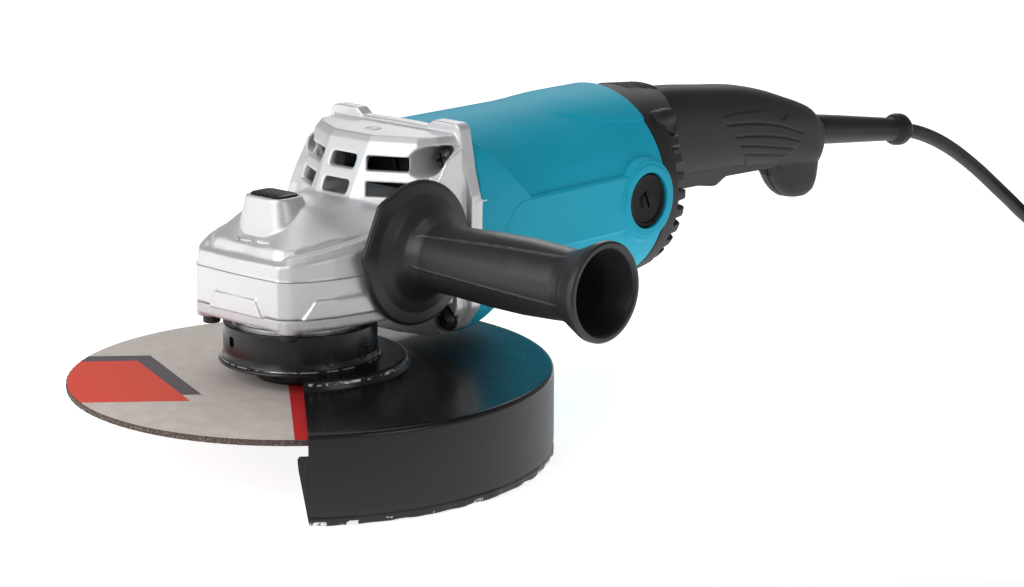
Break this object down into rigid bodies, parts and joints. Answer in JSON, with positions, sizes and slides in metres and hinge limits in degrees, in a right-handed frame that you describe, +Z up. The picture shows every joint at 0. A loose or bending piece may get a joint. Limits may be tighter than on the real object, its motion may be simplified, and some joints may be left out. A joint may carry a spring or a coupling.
{
  "type": "angle grinder",
  "caption": "Large corded angle grinder with a cast gear head, swivelling half guard, cutting disc, round side handle, tubular motor housing and a rear bar handle with a paddle trigger.",
  "frame": {"origin": "under the middle of the machine without its cord, on the plane that the guard's rim stands on", "axes": "+X from the gear head to the rear handle and the cord, -Y to the side handle, +Z up along the wheel spindle, away from the wheel"},
  "size_m": [0.88, 0.287, 0.1605],
  "materials": {
    "cast_silver": "satin silver paint on die-cast alloy, fine grain",
    "steel": "ground steel",
    "black_steel": "black oxide",
    "guard_paint": "gloss black paint, chipped to bare metal on its lips",
    "teal_plastic": "satin moulded plastic",
    "black_plastic": "fine-textured moulded plastic",
    "grip_plastic": "satin moulded plastic",
    "rubber": "matt rubber",
    "abrasive": "resin-bonded abrasive with a paper face, red and grey print",
    "copper": "enamelled copper wire",
    "lamination": "stacked electrical steel",
    "carbon": "pressed carbon",
    "brass": "pressed brass sheet"
  },
  "bodies": {
    "machine": {"gear_housing": "cast_silver", "bearing_box": "cast_silver", "spindle_bearing_lower": "steel", "spindle_bearing_upper": "steel", "shaft_lock_spring": "steel", "front_armature_bearing": "steel", "rear_armature_bearing": "steel", "fan_baffle": "black_plastic", "field_core": "lamination", "field_coil_upper": "copper", "field_coil_lower": "copper", "motor_housing": "teal_plastic", "rear_cover": "black_plastic", "switch_body": "black_plastic", "strain_relief": "rubber", "side_handle_grip": "grip_plastic", "side_handle_stud": "steel", "power_cord": "rubber", "cord_coil": "rubber", "cord_tail": "rubber", "mains_plug": "rubber", "bearing_box_screw_1": "black_steel", "housing_screw_1": "black_steel", "bearing_box_screw_2": "black_steel", "housing_screw_2": "black_steel", "bearing_box_screw_3": "black_steel", "housing_screw_3": "black_steel", "bearing_box_screw_4": "black_steel", "housing_screw_4": "black_steel", "handle_screw_1": "black_steel", "handle_screw_2": "black_steel", "brush_holder_left": "brass", "carbon_brush_left": "carbon", "brush_spring_left": "steel", "brush_cap_left": "black_plastic", "handle_shell_left": "black_plastic", "brush_holder_right": "brass", "carbon_brush_right": "carbon", "brush_spring_right": "steel", "brush_cap_right": "black_plastic", "handle_shell_right": "black_plastic"},
    "wheel_spindle": {"spindle": "steel", "bevel_gear": "steel", "inner_flange": "black_steel", "cutting_disc": "abrasive", "lock_nut": "black_steel"},
    "armature": {"armature_shaft": "steel", "armature_core": "lamination", "front_winding": "copper", "rear_winding": "copper", "commutator": "copper", "cooling_fan": "black_plastic", "bevel_pinion": "steel"},
    "guard": {"wheel_guard": "guard_paint", "guard_clamp_screw": "black_steel"},
    "shaft_lock": {"shaft_lock_button": "black_plastic", "shaft_lock_pin": "steel"},
    "trigger": {"trigger_lever": "black_plastic"},
    "lock_off": {"lock_off_slide": "black_plastic"}
  },
  "joints": [
    {"name": "spindle_spin", "type": "hinge", "parent": "machine", "child": "wheel_spindle", "pos_m": [-0.19835, 0.0285, 0.037], "axis": [0, 0, 1], "continuous": true},
    {"name": "armature_spin", "type": "hinge", "parent": "machine", "child": "armature", "pos_m": [-0.05835, 0.0285, 0.103], "axis": [1, 0, 0], "continuous": true},
    {"name": "guard_swivel", "type": "hinge", "parent": "machine", "child": "guard", "pos_m": [-0.19835, 0.0285, 0.057], "axis": [0, 0, 1], "range_deg": [-90, 90]},
    {"name": "shaft_lock_press", "type": "slide", "parent": "machine", "child": "shaft_lock", "axis": [0, 0, -1], "range_m": [0, 0.004], "stiffness_N_per_m": 400, "springref_m": -0.004, "deforming": ["shaft_lock_spring"]},
    {"name": "trigger_pull", "type": "hinge", "parent": "machine", "child": "trigger", "pos_m": [0.16865, 0.0285, 0.094], "axis": [0, 1, 0], "range_deg": [0, 4.5], "stiffness_Nm_per_rad": 1.5, "springref_deg": -6.88},
    {"name": "lock_off_push", "type": "slide", "parent": "trigger", "child": "lock_off", "axis": [1, 0, 0], "range_m": [0, 0.004], "stiffness_N_per_m": 250, "springref_m": -0.004}
  ],
  "couplings": [
    {"joint": "armature_spin", "follows": "spindle_spin", "ratio": 4}
  ]
}
